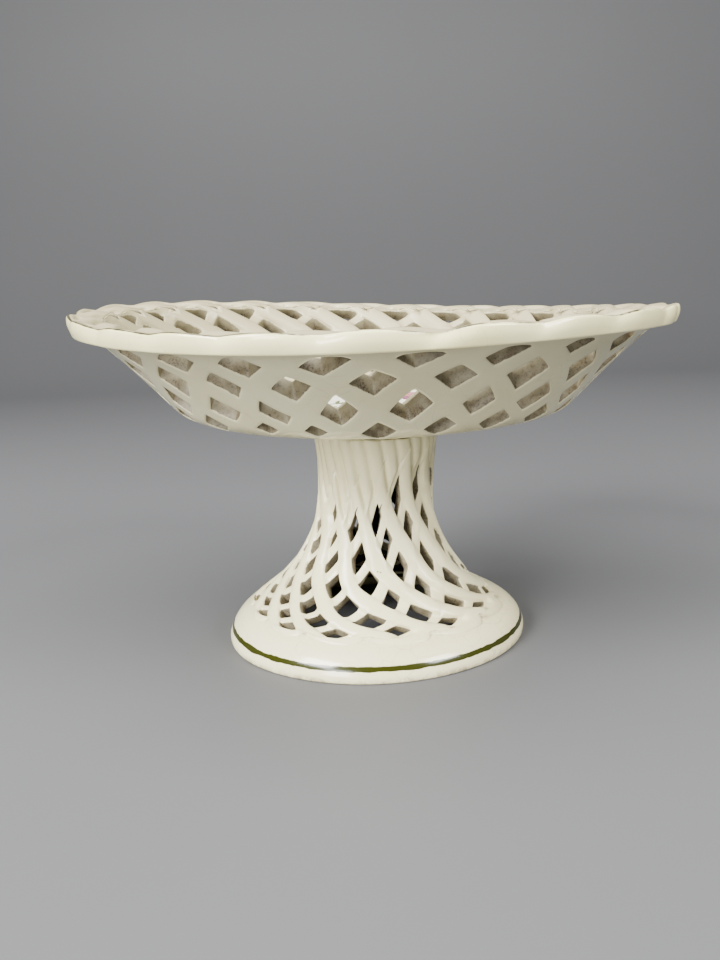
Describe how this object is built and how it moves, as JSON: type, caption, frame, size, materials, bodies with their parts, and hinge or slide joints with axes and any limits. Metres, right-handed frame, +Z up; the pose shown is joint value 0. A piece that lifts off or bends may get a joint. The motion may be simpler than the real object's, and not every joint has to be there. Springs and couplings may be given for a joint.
{
  "type": "pierced footed stand",
  "caption": "Pierced cream earthenware dish on a foot: crossing-strap wall, lobed rim band, fluted neck and a latticed flaring pedestal on a plain ring; holds fruit.",
  "frame": {"origin": "on the table, under the middle of the space that the stand fills", "axes": "+Z up; -Y towards the side that the picture shows; +X to that view's right"},
  "size_m": [0.2398, 0.2398, 0.1445],
  "materials": {
    "foot_ring_glaze": "glossy cream lead glaze with a thin olive painted line",
    "pedestal_glaze": "glossy cream lead glaze, brown in the cut holes",
    "slip_glaze": "glazed slip seam, with fine dark cracks",
    "dish_glaze": "glossy cream lead glaze, fine crazing, brown in the cut holes",
    "rim_glaze": "glossy cream lead glaze with a worn thin dark line on the edge"
  },
  "bodies": {
    "root": {"foot_ring": "foot_ring_glaze", "pierced_pedestal": "pedestal_glaze", "neck_slip_joint": "slip_glaze", "pierced_dish": "dish_glaze", "lobed_rim_band": "rim_glaze"}
  },
  "joints": []
}
